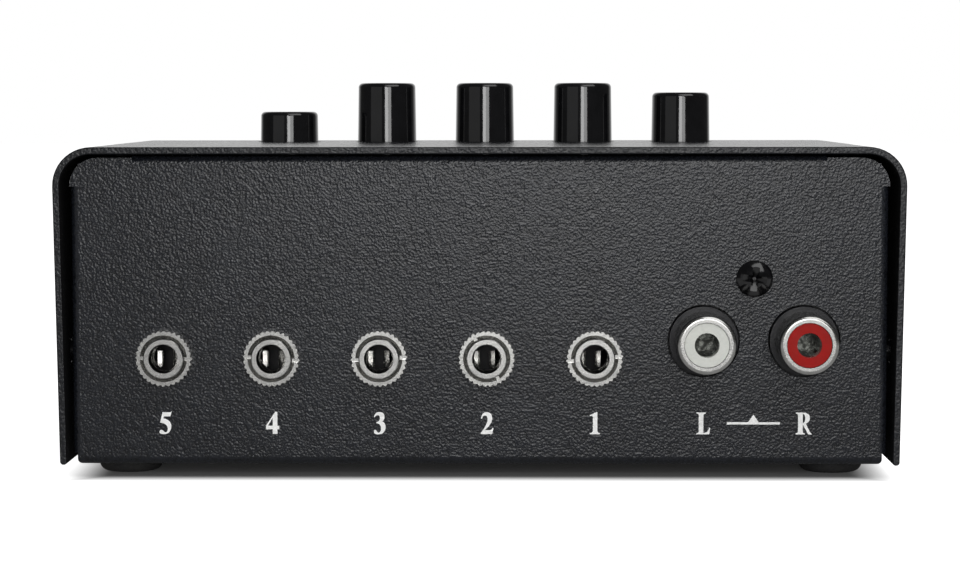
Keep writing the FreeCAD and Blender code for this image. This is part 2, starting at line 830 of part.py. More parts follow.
def phono_block():
    """Return the moulded block of the two sockets, with the collars that show in the panel."""
    half = phono_block_width / 2
    back = y_panel_in + phono_block_depth
    level = (z_board_top, z_board_top + phono_block_height)
    body = box((phono_x - half, phono_x + half), (y_panel_in, back), level)
    half_boss = phono_boss_width / 2
    boss = box((phono_x - half_boss, phono_x + half_boss), (y_panel_in, back),
               (z_board_top, z_panel_screw + phono_boss_cover))
    grooves = []
    collars = []
    holes = [rod(panel_screw_r + thread_gap, phono_x, z_panel_screw, (y_panel_in, back))]
    root = y_panel + phono_shell_seat
    half_lead = phono_lead_width / 2
    groove_end = y_panel_in + phono_groove_depth
    for x in phono_places.values():
        grooves.append(rod(phono_groove_r, x, z_phono, (y_panel_in, groove_end)))
        collars.append(rod(phono_collar_r, x, z_phono, (y_panel - phono_collar_proud, groove_end)))
        holes.append(rod(phono_root_r + phono_gap, x, z_phono, (y_panel - phono_collar_proud, root)))
        holes.append(rod(phono_insert_r + phono_insert_gap, x, z_phono, (root, back)))
        sides = (x - half_lead, x + half_lead)
        holes.append(box(sides, (root - phono_lead_thickness, root), (z_board_top, z_phono)))
    return without(joined([without(joined([body, boss]), grooves)] + collars), holes)


def phono_screw():
    """Return the pan head screw between the sockets."""
    screw = pan_screw(panel_screw_head_r, panel_screw_head_height, panel_screw_rim,
                      panel_screw_r, panel_screw_length, -cross_turn)
    return moved(screw, on_panel(phono_x, z_panel_screw))


def terminal_places():
    """Return where the switch terminals stand, six under each housing."""
    reach_x = housing_width / 2 - terminal_edge
    reach_y = housing_depth / 2 - terminal_edge
    places = []
    for x in button_places:
        places += [(x + dx, bank_y + dy) for dx in (-reach_x, reach_x) for dy in (-reach_y, 0, reach_y)]
    return places


def switch_terminals():
    """Return the terminals of all housings, from their seats down through the board."""
    ends = (z_lead_end, z_board_top + terminal_seat)
    return Part.makeCompound([post(terminal_r, x, y, ends) for x, y in terminal_places()])


def switch_housing(x):
    """Return one station's moulded housing with the slider's shaft and seats for its terminals."""
    half_x = housing_width / 2
    half_y = housing_depth / 2
    block = box((x - half_x, x + half_x), (bank_y - half_y, bank_y + half_y), (z_board_top, z_housing_top))
    cut_x = slider_width / 2 + slider_gap
    cut_y = slider_depth / 2 + slider_gap
    shaft = box((x - cut_x, x + cut_x), (bank_y - cut_y, bank_y + cut_y), (z_shaft_floor, z_housing_top))
    seat = (z_board_top, z_board_top + terminal_seat)
    seats = [post(terminal_r, pin_x, y, seat) for pin_x, y in terminal_places()]
    return without(block, [shaft] + seats)


def plunger(x, drop):
    """Return one station's plunger: slider, square stem, stop collar and latch tooth."""
    slider = box((x - slider_width / 2, x + slider_width / 2),
                 (bank_y - slider_depth / 2, bank_y + slider_depth / 2),
                 (z_slider_top - slider_length, z_slider_top))
    half = stem_size / 2
    stem = box((x - half, x + half), (bank_y - half, bank_y + half), (z_slider_top, z_stem_top))
    collar = post(collar_r, x, bank_y, (z_collar, z_collar + collar_thickness))
    tooth = outline([
        (x + half, z_tooth_top - tooth_height, 0),
        (x + half + tooth_reach, z_tooth_top, 0),
        (x + half, z_tooth_top, 0),
    ], in_xz).extrude(V(0, stem_size, 0))
    tooth.translate(V(0, bank_y - half, 0))
    whole = joined([slider, stem, collar, tooth])
    whole.translate(V(0, 0, -drop))
    return whole


def cap(x, drop):
    """Return one button cap with its rounded crown edge and the socket for the stem."""
    length = z_cap_top - z_cap_bottom
    shell = turned([
        (0, 0, 0),
        (cap_bottom_r, 0, 0),
        (cap_top_r, length, cap_edge_r),
        (0, length, 0),
    ])
    half = stem_size / 2 + stem_gap
    socket = box((-half, half), (-half, half), (0, length - cap_crown))
    shell = shell.cut(socket)
    shell.translate(V(x, bank_y, z_cap_bottom - drop))
    return shell


def return_spring(x, drop):
    """Return one station's return spring, between its housing and the plunger's collar."""
    spring = coil(spring_coil_r, spring_wire_r, spring_turns, spring_room - drop)
    spring.translate(V(x, bank_y, z_housing_top))
    return spring


def stud_places():
    """Return where the latch bar's two guide studs stand along the bank."""
    offset = half_bank - button_pitch / 2
    return [bank_x - offset, bank_x + offset]


def switch_frame():
    """Return the folded frame that grips the housings and carries the latch bar."""
    x_ends = (bank_x - half_frame, bank_x + half_frame)
    y_sides = (bank_y - half_frame_depth, bank_y + half_frame_depth)
    plate = box(x_ends, y_sides, (z_frame, z_frame_top))
    solids = [plate]
    skirt = z_housing_top - frame_grip
    solids.append(box(x_ends, (y_sides[0], y_sides[0] + frame_sheet), (skirt, z_frame)))
    solids.append(box(x_ends, (y_sides[1] - frame_sheet, y_sides[1]), (skirt, z_frame)))
    tab_sides = (bank_y - frame_tab_width / 2, bank_y + frame_tab_width / 2)
    for x in (x_ends[0], x_ends[1] - frame_sheet):
        ends = (x, x + frame_sheet)
        solids.append(box(ends, y_sides, (z_board_top, z_frame)))
        solids.append(box(ends, tab_sides, (z_lead_end, z_board_top)))
    upstand = (x_ends[1] - frame_sheet, x_ends[1])
    solids.append(box(upstand, tab_sides, (z_frame_top, z_latch_top + latch_tab_height)))
    for x in stud_places():
        solids.append(post(stud_r, x, bank_y, (z_frame_top, z_latch_top + latch_gap)))
        head = (z_latch_top + latch_gap, z_latch_top + latch_gap + stud_head_height)
        solids.append(post(stud_head_r, x, bank_y, head))
    half_slot = stem_size / 2 + slot_gap
    slots = []
    for x in button_places:
        slots.append(box((x - half_slot, x + half_slot + tooth_reach),
                         (bank_y - half_slot, bank_y + half_slot), (z_frame, z_frame_top)))
    return without(joined(solids), slots)


def latch_bar():
    """Return the sliding latch bar: a window at each stem, stud slots and an upturned end."""
    half = latch_width / 2
    y_sides = (bank_y - half, bank_y + half)
    x_ends = (bank_x - half_latch, bank_x + half_latch)
    bar = box(x_ends, y_sides, (z_latch, z_latch_top))
    half_tab_width = frame_tab_width / 2
    tab = box((x_ends[1] - latch_thickness, x_ends[1]), (bank_y - half_tab_width, bank_y + half_tab_width),
              (z_latch_top, z_latch_top + latch_tab_height))
    level = (z_latch, z_latch_top)
    half_stem = stem_size / 2 + slot_gap
    holes = []
    for x in button_places:
        window_x = (x - half_stem - latch_travel, x + stem_size / 2 + tooth_reach + stop_gap)
        holes.append(box(window_x, (bank_y - half_stem, bank_y + half_stem), level))
    reach = stud_r + stud_gap
    for x in stud_places():
        slot = box((x - reach - latch_travel, x + reach), (bank_y - reach, bank_y + reach), level)
        holes.append(slot)
    return without(joined([bar, tab]), holes)


def latch_spring():
    """Return the small spring between the latch bar's upturned end and the frame's upstand."""
    start = bank_x + half_latch
    spring = coil(latch_coil_r, latch_wire_r, latch_turns, latch_spring_room)
    height = z_latch_top + latch_tab_height / 2
    return moved(spring, FreeCAD.Placement(V(start, bank_y, height), FreeCAD.Rotation(V(0, 1, 0), 90)))


def station_drop(number):
    """Return how far a station's plunger stands below its raised height in the rest pose."""
    return latched_depth if number == latched_button else 0.0


def build():
    """Return every part of the switch by node name."""
    nodes = {
        "chassis": chassis(),
        "cover": cover(),
        "cover_screws": cover_screws(),
        "rubber_feet": rubber_feet(),
        "main_board": main_board(),
        "board_standoffs": board_standoffs(),
        "board_screws": board_screws(),
        "phono_block": phono_block(),
        "phono_screw": phono_screw(),
        "switch_frame": switch_frame(),
        "switch_terminals": switch_terminals(),
        "latch_bar": latch_bar(),
        "latch_spring": latch_spring(),
    }
    for number, x in enumerate(jack_places, start=1):
        nodes[f"jack_body_{number}"] = jack_body(x)
        nodes[f"jack_ferrule_{number}"] = jack_ferrule(x)
        nodes[f"jack_nut_{number}"] = jack_nut(x, nut_turns[number - 1])
        nodes[f"jack_contacts_{number}"] = jack_contacts(x)
    for colour, x in phono_places.items():
        nodes[f"phono_shell_{colour}"] = phono_shell(x)
        nodes[f"phono_insulator_{colour}"] = phono_insulator(x)
        nodes[f"phono_contact_{colour}"] = phono_contact(x)
    for number, x in enumerate(button_places, start=1):
        drop = station_drop(number)
        low = low_depth if number == low_button else 0.0
        nodes[f"switch_housing_{number}"] = switch_housing(x)
        nodes[f"plunger_{number}"] = plunger(x, drop)
        nodes[f"button_cap_{number}"] = cap(x, drop + low)
        nodes[f"return_spring_{number}"] = return_spring(x, drop)
    return nodes


os.makedirs("parts", exist_ok=True)
for name, shape in build().items():
    shape.exportStep(f"parts/{name}.step")
    state = "" if shape.isValid() else "INVALID"
    print(name, len(shape.Solids), "solids", round(shape.Volume, 1), "mm3", state)
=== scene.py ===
"""Looks of the speaker selector switch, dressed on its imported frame.

Sizes are in millimetres unless a name ends in _m, and are turned into metres where a mesh, the
camera or a lamp is made. Numbers inside the materials are in metres, as Blender reads them, and
angles are in radians. +X is to the right as seen from the connector panel, -Y points out of that
panel and +Z is up.
"""
import json
import logging
import math
from dataclasses import dataclass, field
from enum import Enum
from typing import ClassVar, Sequence

import bmesh
import bpy
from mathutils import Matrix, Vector
from mathutils.geometry import tessellate_polygon


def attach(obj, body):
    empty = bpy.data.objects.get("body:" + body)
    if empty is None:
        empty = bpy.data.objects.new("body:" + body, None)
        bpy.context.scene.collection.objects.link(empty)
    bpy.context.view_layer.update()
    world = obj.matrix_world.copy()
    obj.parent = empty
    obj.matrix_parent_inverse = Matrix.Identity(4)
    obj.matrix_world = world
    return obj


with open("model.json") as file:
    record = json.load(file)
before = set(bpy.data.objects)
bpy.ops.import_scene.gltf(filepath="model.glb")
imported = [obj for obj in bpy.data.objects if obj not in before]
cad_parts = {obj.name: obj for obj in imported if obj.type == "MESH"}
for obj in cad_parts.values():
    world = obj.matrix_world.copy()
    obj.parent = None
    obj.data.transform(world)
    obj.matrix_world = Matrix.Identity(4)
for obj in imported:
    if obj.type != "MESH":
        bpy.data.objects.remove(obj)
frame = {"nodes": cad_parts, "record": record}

LOG = logging.getLogger("speaker_selector")
MM = 0.001
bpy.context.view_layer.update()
STATIONS = range(1, 6)

Point = tuple[float, float]
Place = tuple[float, float, float]
Span = tuple[float, float]
Colour = tuple[float, float, float]
Socket = bpy.types.NodeSocket
Source = float | tuple | Socket

WHITE: Colour = (1.0, 1.0, 1.0)


def rgba(colour: Colour) -> tuple[float, float, float, float]:
    """Return a colour with full opacity."""
    return (*colour, 1.0)


def grey(level: float) -> tuple[float, float, float, float]:
    """Return a plain grey of one level with full opacity."""
    return rgba((level, level, level))


def millimetres(*values: float) -> Vector:
    """Return a point given in millimetres as a vector in metres."""
    return Vector(values) * MM


class NodeTree:
    """A node tree with short ways to add nodes and join them.

    A Mix node gives several sockets one name, so its colour sockets are known by their places.
    """

    MIX_SHARE: ClassVar[int] = 0
    MIX_FIRST: ClassVar[int] = 6
    MIX_SECOND: ClassVar[int] = 7
    MIX_COLOUR: ClassVar[int] = 2

    def __init__(self, tree: bpy.types.NodeTree) -> None:
        """Wrap a node tree and empty it.

        Args:
            tree: The tree that the nodes are added to.
        """
        self.tree = tree
        tree.nodes.clear()

    def feed(self, node: bpy.types.Node, inputs: dict[str | int, Source]) -> None:
        """Give a node's inputs their values, or the sockets that they follow.

        Args:
            node: The node.
            inputs: For each input, by name or number, a value or a socket to link.
        """
        for key, value in inputs.items():
            if isinstance(value, Socket):
                self.tree.links.new(value, node.inputs[key])
            else:
                node.inputs[key].default_value = value

    def add(
        self, kind: str, inputs: dict[str | int, Source] | None = None, **settings: object
    ) -> bpy.types.Node:
        """Add a node, set its options and feed its inputs.

        Args:
            kind: The node's type, without the word ShaderNode where it starts with that.
            inputs: For each input, by name or number, a value or a socket to link.
            settings: The node's own options.

        Returns:
            The new node.
        """
        name = kind if kind.startswith("Node") else f"ShaderNode{kind}"
        node = self.tree.nodes.new(name)
        for option, value in settings.items():
            setattr(node, option, value)
        self.feed(node, inputs or {})
        return node

    def maths(
        self, operation: str, first: Source, second: Source = 0.0, clamp: bool = False
    ) -> Socket:
        """Add a Math node.

        Args:
            operation: The name of the sum, such as MULTIPLY.
            first: A number or a socket.
            second: A number or a socket.
            clamp: Whether the result is kept between 0 and 1.

        Returns:
            The socket with the result.
        """
        node = self.add("Math", {0: first, 1: second}, operation=operation, use_clamp=clamp)
        return node.outputs[0]

    def times(self, first: Source, second: Source) -> Socket:
        """Return the product of two numbers or sockets."""
        return self.maths("MULTIPLY", first, second)

    def ramp(self, value: Socket, span: Sequence[Source], result: Span = (0.0, 1.0)) -> Socket:
        """Map a span of values smoothly to another span.

        Args:
            value: The socket that holds the value.
            span: The two values, or sockets, that give the two ends of the result.
            result: The result at and before the first of them, and at and beyond the second.

        Returns:
            The socket with the result.
        """
        inputs = {
            "Value": value,
            "From Min": span[0],
            "From Max": span[1],
            "To Min": result[0],
            "To Max": result[1],
        }
        return self.add("MapRange", inputs, interpolation_type="SMOOTHSTEP").outputs["Result"]

    def blend(self, share: Source, first: Source, second: Source) -> Socket:
        """Mix two colours.

        Args:
            share: How much of the second colour is used.
            first: A colour or a socket.
            second: A colour or a socket.

        Returns:
            The socket with the mixed colour.
        """
        ends = {self.MIX_SHARE: share, self.MIX_FIRST: first, self.MIX_SECOND: second}
        return self.add("Mix", ends, data_type="RGBA").outputs[self.MIX_COLOUR]

    def noise(
        self, place: Socket, scale: Source, layers: float = 2.0, rough: float = 0.5
    ) -> Socket:
        """Add a noise texture and return its value, which lies mostly between 0.25 and 0.75.

        Args:
            place: The point at which the noise is read, in metres.
            scale: The number of cells in a metre.
            layers: The number of finer layers.
            rough: The share of the finer layers.

        Returns:
            The socket with the noise.
        """
        inputs = {"Vector": place, "Scale": scale, "Detail": layers, "Roughness": rough}
        return self.add("TexNoise", inputs).outputs[0]


class GroupKind(Enum):
    """The effects that more than one finish can use."""

    GRAIN = "pebble_grain"
    HAIRLINES = "hairline_scratches"
    BLOTCH = "soft_blotches"
    DUST = "settled_dust"
    # The mask of inward faces carries painted shade; the rim mask darkens and dulls the rims by
    # place.
    INSIDE = "shade_inside_and_rim_masks"


@dataclass
class EffectGroups:
    """The shared shader node groups, each built once, and the numbers that shape them.

    Cells are counted along a metre. A span is the pair of values between which a tone or a mask
    turns from none to full. Scales and heights of the grain's layers are shares of its cells and
    of its depth.
    """

    grain_cells: float = 2600.0
    grain_layers: float = 1.0
    grain_fine_rough: float = 0.4
    grain_broad_scale: float = 0.5
    grain_pebble_scale: float = 0.8
    grain_pebble_softness: float = 0.6
    grain_fine_height: float = 0.75
    grain_broad_height: float = 0.7
    grain_pebble_height: float = 0.45
    grain_tone_span: Span = (0.2, 0.75)
    grain_pit_span: Span = (0.62, 0.74)
    line_cells_across: float = 9000.0
    line_cells_along: float = 300.0
    line_layers: float = 3.0
    line_rough: float = 0.6
    line_span: Span = (0.3, 0.7)
    blotch_cells: float = 120.0
    blotch_layers: float = 4.0
    blotch_rough: float = 0.55
    blotch_middle: float = 0.5
    blotch_edge: float = 0.12
    dust_amount: float = 0.1
    dust_upward_span: Span = (0.45, 0.95)
    dust_layers: float = 3.0
    speck_cells: float = 1900.0
    speck_rough: float = 0.7
    speck_span: Span = (0.5, 0.8)
    dust_patch_cells: float = 60.0
    dust_patch_span: Span = (0.35, 0.65)
    dust_patch_result: Span = (0.3, 1.0)
    case_middle_z_m: float = 0.024
    inside_span_m: Span = (-0.004, -0.001)
    rims_middle_y_m: float = 0.0033
    rims_half_m: float = 0.0337
    rim_span_m: Span = (-0.0003, -0.00015)
    groups: dict[GroupKind, bpy.types.NodeTree] = field(default_factory=dict, init=False)

    def __post_init__(self) -> None:
        """Build every group."""
        self.make_grain()
        self.make_hairlines()
        self.make_blotch()
        self.make_dust()
        self.make_inside()

    def start(
        self, kind: GroupKind, inputs: dict[str, float], outputs: Sequence[str]
    ) -> tuple[NodeTree, dict[str, Socket], bpy.types.Node]:
        """Open a new group.

        Args:
            kind: The effect that the group makes.
            inputs: The names of the number inputs, with their values.
            outputs: The names of the number outputs.

        Returns:
            The group's tree, its input sockets by name, and its output node.
        """
        group = bpy.data.node_groups.new(kind.value, "ShaderNodeTree")
        sockets = group.interface
        sockets.new_socket("Place", in_out="INPUT", socket_type="NodeSocketVector")
        for name, value in inputs.items():
            socket = sockets.new_socket(name, in_out="INPUT", socket_type="NodeSocketFloat")
            socket.default_value = value
        for name in outputs:
            sockets.new_socket(name, in_out="OUTPUT", socket_type="NodeSocketFloat")
        tree = NodeTree(group)
        entry = tree.add("NodeGroupInput")
        self.groups[kind] = group
        return tree, dict(entry.outputs.items()), tree.add("NodeGroupOutput")

    def make_grain(self) -> None:
        """Build the pebbled surface of sprayed powder and of spark-eroded moulds."""
        tree, given, out = self.start(
            GroupKind.GRAIN, {"Cells": self.grain_cells}, ("Height", "Tone", "Pits")
        )
        place, cells = given["Place"], given["Cells"]
        fine = tree.noise(place, cells, self.grain_layers, self.grain_fine_rough)
        broad = tree.noise(place, tree.times(cells, self.grain_broad_scale), self.grain_layers)
        scale = tree.times(cells, self.grain_pebble_scale)
        pebbles = tree.add(
            "TexVoronoi",
            {"Vector": place, "Scale": scale, "Smoothness": self.grain_pebble_softness},
            feature="SMOOTH_F1",
        ).outputs["Distance"]
        both = tree.maths(
            "ADD",
            tree.times(fine, self.grain_fine_height),
            tree.times(broad, self.grain_broad_height),
        )
        height = tree.maths("SUBTRACT", both, tree.times(pebbles, self.grain_pebble_height))
        tone = tree.ramp(height, self.grain_tone_span)
        pits = tree.ramp(broad, self.grain_pit_span)
        tree.feed(out, {"Height": height, "Tone": tone, "Pits": pits})

    def make_hairlines(self) -> None:
        """Build the fine lines that turning, drawing or wiping leaves on metal."""
        cells = {"Across": self.line_cells_across, "Along": self.line_cells_along}
        tree, given, out = self.start(GroupKind.HAIRLINES, cells, ("Lines", "Relief"))
        scale = tree.add("CombineXYZ", {0: given["Along"], 1: given["Across"], 2: given["Across"]})
        stretched = tree.add(
            "VectorMath", {0: given["Place"], 1: scale.outputs[0]}, operation="MULTIPLY"
        )
        relief = tree.noise(stretched.outputs[0], 1.0, self.line_layers, self.line_rough)
        tree.feed(out, {"Lines": tree.ramp(relief, self.line_span), "Relief": relief})

    def make_blotch(self) -> None:
        """Build broad soft patches, such as handling marks and uneven plating."""
        numbers = {"Cells": self.blotch_cells, "Edge": self.blotch_edge}
        tree, given, out = self.start(GroupKind.BLOTCH, numbers, ("Patch",))
        patches = tree.noise(
            given["Place"], given["Cells"], self.blotch_layers, self.blotch_rough
        )
        low = tree.maths("SUBTRACT", self.blotch_middle, given["Edge"])
        high = tree.maths("ADD", self.blotch_middle, given["Edge"])
        tree.feed(out, {"Patch": tree.ramp(patches, (low, high))})

    def make_dust(self) -> None:
        """Build the thin dust that settles on faces which look up."""
        tree, given, out = self.start(GroupKind.DUST, {"Amount": self.dust_amount}, ("Dust",))
        normal = tree.add("NewGeometry").outputs["Normal"]
        height = tree.add("SeparateXYZ", {0: normal}).outputs[2]
        upward = tree.ramp(height, self.dust_upward_span)
        grains = tree.noise(given["Place"], self.speck_cells, self.dust_layers, self.speck_rough)
        specks = tree.ramp(grains, self.speck_span)
        broad = tree.noise(given["Place"], self.dust_patch_cells, self.dust_layers)
        patches = tree.ramp(broad, self.dust_patch_span, self.dust_patch_result)
        settled = tree.times(tree.times(upward, specks), patches)
        tree.feed(out, {"Dust": tree.times(settled, given["Amount"])})

    def make_inside(self) -> None:
        """Build the masks of faces that look into the case and of the cover's front and far rims.

        A face looks inward where its normal points back at the case's middle; these faces take
        painted shade, standing in for the shade that falls between the cover and the panels. A rim
        is what lies further along Y from the cover's middle than the rest of the cover; it is
        darkened and dulled by place.
        """
        numbers = {
            "Middle": self.case_middle_z_m,
            "Rims middle": self.rims_middle_y_m,
            "Rims half": self.rims_half_m,
        }
        tree, given, out = self.start(GroupKind.INSIDE, numbers, ("Inside", "Rim"))
        middle = tree.add("CombineXYZ", {2: given["Middle"]}).outputs[0]
        outward = tree.add("VectorMath", {0: given["Place"], 1: middle}, operation="SUBTRACT")
        normal = tree.add("TexCoord").outputs["Normal"]
        facing = tree.add(
            "VectorMath", {0: outward.outputs[0], 1: normal}, operation="DOT_PRODUCT"
        ).outputs["Value"]
        inside = tree.ramp(facing, self.inside_span_m, (1.0, 0.0))
        depth = tree.add("SeparateXYZ", {0: given["Place"]}).outputs[1]
        away = tree.maths("ABSOLUTE", tree.maths("SUBTRACT", depth, given["Rims middle"]))
        beyond = tree.maths("SUBTRACT", away, given["Rims half"])
        tree.feed(out, {"Inside": inside, "Rim": tree.ramp(beyond, self.rim_span_m)})

    def place(
        self, tree: NodeTree, kind: GroupKind, point: Socket, **values: float
    ) -> bpy.types.NodeOutputs:
        """Put a group in a material.

        Args:
            tree: The material's tree.
            kind: The effect.
            point: The point at which the effect is read.
            values: The group's number inputs.

        Returns:
            The group's output sockets.
        """
        node = tree.add("Group", node_tree=self.groups[kind])
        tree.feed(node, {"Place": point, **values})
        return node.outputs


@dataclass(frozen=True)
class Finish:
    """One finish of the object: its colours, gloss and surface detail.

    The names in capitals are shared: what pits, hairlines and dust do to the roughness, the
    colour of dust, and the painted shade of the inward faces, dark, rough and partly metallic,
    part of which darkens and dulls the rims by place.
    """

    PIT_GLOSS: ClassVar[float] = 0.12
    LINE_DULLING: ClassVar[float] = 0.08
    DUST_DULLING: ClassVar[float] = 0.4
    DUST_COLOUR: ClassVar[Colour] = (0.36, 0.35, 0.33)
    RIM_SHARE: ClassVar[float] = 0.35
    # Painted shade: near-black colour, roughness and metal for the inward faces, which RIM_SHARE
    # also blends onto the rims.
    THIN_COLOUR: ClassVar[Colour] = (0.003, 0.003, 0.0035)
    THIN_ROUGHNESS: ClassVar[float] = 0.9
    THIN_METALLIC: ClassVar[float] = 0.55

    name: str
    colour: Colour
    second: Colour
    roughness: float
    rougher: float
    metallic: float = 0.0
    specular: float = 0.5
    grain_cells: float = 0.0
    grain_depth_m: float = 0.0
    grain_tone: float = 0.0
    hairline_depth_m: float = 0.0
    blotch_cells: float = 120.0
    blotch_share: float = 0.5
    dust: float = 0.0
    thin_inside: bool = False

    def build(self, effects: EffectGroups) -> bpy.types.Material:
        """Make the material.

        Args:
            effects: The shared node groups.

        Returns:
            The new material.
        """
        material = bpy.data.materials.new(self.name)
        material.use_nodes = True
        tree = NodeTree(material.node_tree)
        place = tree.add("TexCoord").outputs["Object"]
        blotch = effects.place(tree, GroupKind.BLOTCH, place, Cells=self.blotch_cells)["Patch"]
        share = tree.times(blotch, self.blotch_share)
        spread = tree.times(share, self.rougher - self.roughness)
        gloss = tree.maths("ADD", self.roughness, spread)
        relief: dict[str, Source] = {}
        if self.grain_depth_m:
            grain = effects.place(tree, GroupKind.GRAIN, place, Cells=self.grain_cells)
            relief = {"Height": grain["Height"], "Distance": self.grain_depth_m}
            tone = tree.times(grain["Tone"], self.grain_tone)
            share = tree.maths("ADD", share, tone, clamp=True)
            pits = tree.times(grain["Pits"], self.PIT_GLOSS)
            gloss = tree.maths("SUBTRACT", gloss, pits, clamp=True)
        if self.hairline_depth_m:
            lines = effects.place(tree, GroupKind.HAIRLINES, place)
            relief = {"Height": lines["Relief"], "Distance": self.hairline_depth_m}
            dulling = tree.times(lines["Lines"], self.LINE_DULLING)
            gloss = tree.maths("ADD", gloss, dulling, clamp=True)
        metallic: float | Socket = self.metallic
        colour = tree.blend(share, rgba(self.colour), rgba(self.second))
        if self.dust:
            dust = effects.place(tree, GroupKind.DUST, place, Amount=self.dust)["Dust"]
            colour = tree.blend(dust, colour, rgba(self.DUST_COLOUR))
            gloss = tree.maths("ADD", gloss, tree.times(dust, self.DUST_DULLING), clamp=True)
        # Painted shade on the inward faces of the case, and darker, duller rims by place.
        if self.thin_inside:
            thin = effects.place(tree, GroupKind.INSIDE, place)
            rim = tree.times(thin["Rim"], self.RIM_SHARE)
            dull = tree.maths("MAXIMUM", thin["Inside"], rim)
            colour = tree.blend(dull, colour, rgba(self.THIN_COLOUR))
            gloss = tree.maths("MAXIMUM", gloss, tree.times(dull, self.THIN_ROUGHNESS))
            metallic = tree.times(thin["Inside"], self.THIN_METALLIC)
        shader = tree.add(
            "BsdfPrincipled",
            {
                "Base Color": colour,
                "Roughness": gloss,
                "Metallic": metallic,
                "Specular IOR Level": self.specular,
            },
        )
        if relief:
            bump = tree.add("Bump", {**relief, "Strength": 1.0})
            tree.feed(shader, {"Normal": bump.outputs["Normal"]})
        tree.add("OutputMaterial", {"Surface": shader.outputs[0]})
        return material


FINISHES = (
    Finish(
        "black_powder_coat", (0.0045, 0.005, 0.0062), (0.012, 0.0135, 0.018), 0.25, 0.31,
        specular=0.26, grain_cells=3300.0, grain_depth_m=0.000058, grain_tone=0.7,
        blotch_share=0.2, dust=0.1, thin_inside=True,
    ),
    Finish(
        "black_screw", (0.002, 0.002, 0.0025), (0.005, 0.005, 0.006), 0.08, 0.14,
        specular=0.55, hairline_depth_m=0.000001, blotch_cells=900.0,
    ),
    Finish(
        "foot_rubber", (0.02, 0.02, 0.021), (0.034, 0.033, 0.032), 0.75, 0.9,
        grain_cells=3200.0, grain_depth_m=0.00004, grain_tone=0.5, blotch_cells=300.0,
    ),
    Finish(
        "board_green", (0.012, 0.1, 0.045), (0.02, 0.15, 0.065), 0.3, 0.42,
        grain_cells=1500.0, grain_depth_m=0.00001, grain_tone=0.4, blotch_cells=80.0,
    ),
    Finish(
        "plated_steel", (0.55, 0.55, 0.54), (0.42, 0.43, 0.44), 0.3, 0.44,
        metallic=1.0, hairline_depth_m=0.000008, blotch_cells=260.0,
    ),
    Finish(
        "nickel", (0.37, 0.368, 0.358), (0.28, 0.276, 0.262), 0.16, 0.28,
        metallic=1.0, hairline_depth_m=0.0000018, blotch_cells=700.0,
    ),
    Finish(
        "tinned_contact", (0.93, 0.92, 0.88), (0.75, 0.73, 0.69), 0.16, 0.26,
        metallic=1.0, hairline_depth_m=0.000004, blotch_cells=800.0,
    ),
    # Contacts deep in the phono sockets: their dark colour is painted shade in the bores, and
    # their light and dark patches stand in for glints there.
    Finish(
        "aged_contact", (0.085, 0.088, 0.08), (0.012, 0.012, 0.011), 0.2, 0.34,
        metallic=1.0, hairline_depth_m=0.000002, blotch_cells=1400.0, blotch_share=0.9,
    ),
    Finish(
        "spring_steel", (0.42, 0.42, 0.43), (0.3, 0.3, 0.31), 0.28, 0.4,
        metallic=1.0, hairline_depth_m=0.000004, blotch_cells=600.0,
    ),
    Finish(
        "black_moulding", (0.007, 0.007, 0.0085), (0.013, 0.013, 0.015), 0.42, 0.55,
        specular=0.25, grain_cells=4200.0, grain_depth_m=0.00002, grain_tone=0.4,
        blotch_cells=400.0,
    ),
    Finish(
        "white_moulding", (0.76, 0.75, 0.7), (0.68, 0.66, 0.6), 0.38, 0.5,
        grain_cells=4200.0, grain_depth_m=0.00001, grain_tone=0.3, blotch_cells=300.0,
    ),
    Finish(
        "gloss_black_cap", (0.004, 0.004, 0.0045), (0.007, 0.007, 0.008), 0.07, 0.12,
        grain_cells=900.0, grain_depth_m=0.000006, grain_tone=0.3, blotch_cells=260.0,
        dust=0.05,
    ),
    Finish(
        "white_insert", (0.62, 0.63, 0.585), (0.54, 0.55, 0.51), 0.25, 0.36,
        grain_cells=3600.0, grain_depth_m=0.000012, grain_tone=0.3, blotch_cells=700.0,
    ),
    Finish(
        "red_insert", (0.33, 0.006, 0.004), (0.26, 0.005, 0.003), 0.2, 0.3,
        specular=0.12, grain_cells=3600.0, grain_depth_m=0.000006, grain_tone=0.3,
        blotch_cells=700.0,
    ),
    Finish(
        "white_ink", (0.96, 0.96, 0.95), (0.82, 0.82, 0.81), 0.45, 0.6,
        grain_cells=2500.0, grain_depth_m=0.00008, grain_tone=0.35, blotch_cells=1500.0,
    ),
)


class Finishes:
    """Every material of the object, built from its finish."""

    def __init__(self, effects: EffectGroups) -> None:
        """Build the materials.

        Args:
            effects: The shared node groups.
        """
        self.materials = {finish.name: finish.build(effects) for finish in FINISHES}

    def dress(self, piece: bpy.types.Object, name: str) -> None:
        """Give a piece one finish all over.

        Args:
            piece: The piece.
            name: The finish's name.
        """
        slots = piece.material_slots
        if not slots:
            piece.data.materials.append(self.materials[name])
        for slot in slots:
            slot.material = self.materials[name]

    def dress_nodes(self, record: dict, nodes: dict[str, bpy.types.Object]) -> None:
        """Give each node of the frame the finish that the record names.

        Args:
            record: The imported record.
            nodes: The frame's objects by node name.
        """
        for part in record["subparts"]:
            self.dress(nodes[part["node"]], part["material_slot"])
        LOG.info("dressed %d nodes of the frame", len(record["subparts"]))


GRID_HEIGHT = 100
ON, PULL = True, False
Mark = tuple[float, float, bool]


